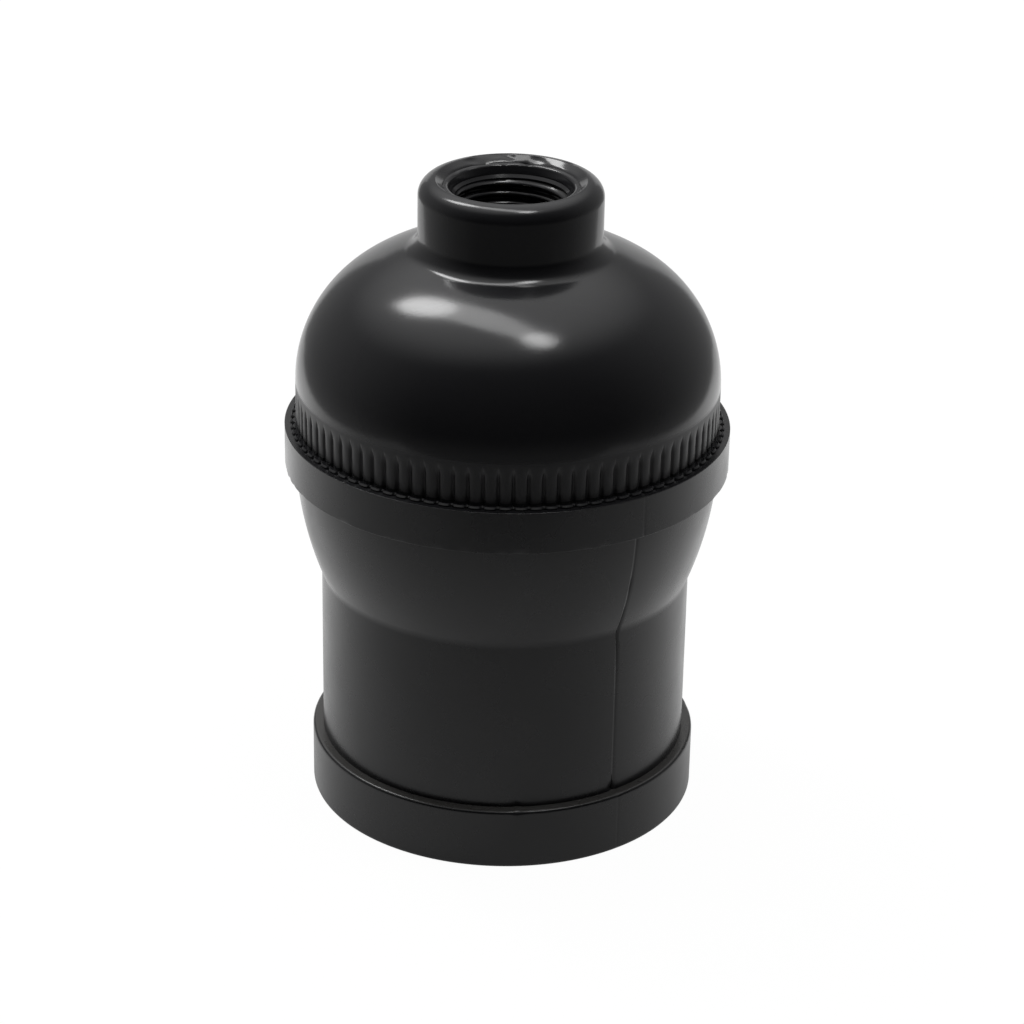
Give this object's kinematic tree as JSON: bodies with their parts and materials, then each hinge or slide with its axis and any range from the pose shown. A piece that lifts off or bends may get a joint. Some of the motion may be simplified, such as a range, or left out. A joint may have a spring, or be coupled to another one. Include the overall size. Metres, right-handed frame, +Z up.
{
  "type": "lamp holder",
  "caption": "Moulded phenolic lamp holder: a domed, ribbed cap with a tapped neck screws onto a flared barrel that carries the screw shell and contacts.",
  "frame": {"origin": "centre of the mouth's rim plane, on the axis", "axes": "+Z up the axis from the mouth to the tapped neck, +X towards the line rivet, -Y to the front"},
  "size_m": [0.0398, 0.0396, 0.0585],
  "materials": {
    "cap_phenolic": "compression-moulded black phenolic, polished mould, glossy",
    "body_phenolic": "compression-moulded black phenolic, slightly worn mould, satin gloss",
    "shell_brass": "rolled brass sheet",
    "contact_bronze": "phosphor bronze strip",
    "terminal_brass": "stamped brass",
    "screw_brass": "turned brass",
    "terminal_nickel": "nickel-plated brass, stamped",
    "screw_nickel": "nickel-plated brass, turned",
    "rivet_brass": "headed brass wire"
  },
  "bodies": {
    "base": {"socket_body": "body_phenolic", "screw_shell": "shell_brass", "line_terminal": "terminal_brass", "neutral_terminal": "terminal_nickel", "line_rivet": "rivet_brass", "neutral_rivet": "rivet_brass", "shell_rivet": "rivet_brass"},
    "cap": {"cap": "cap_phenolic"},
    "line_screw": {"line_screw": "screw_brass"},
    "neutral_screw": {"neutral_screw": "screw_nickel"},
    "contact": {"centre_contact": "contact_bronze"}
  },
  "joints": [
    {"name": "cap_lift", "type": "slide", "parent": "base", "child": "cap", "axis": [0, 0, 1], "range_m": [0, 0.02]},
    {"name": "line_screw_out", "type": "slide", "parent": "base", "child": "line_screw", "axis": [0, 0, 1], "range_m": [0, 0.0016]},
    {"name": "neutral_screw_out", "type": "slide", "parent": "base", "child": "neutral_screw", "axis": [0, 0, 1], "range_m": [0, 0.0016]},
    {"name": "contact_flex", "type": "hinge", "parent": "base", "child": "contact", "pos_m": [0.0069, 0, 0.02645], "axis": [0, 1, 0], "range_deg": [0, 10], "stiffness_Nm_per_rad": 0.1, "deforming": ["centre_contact"]}
  ]
}
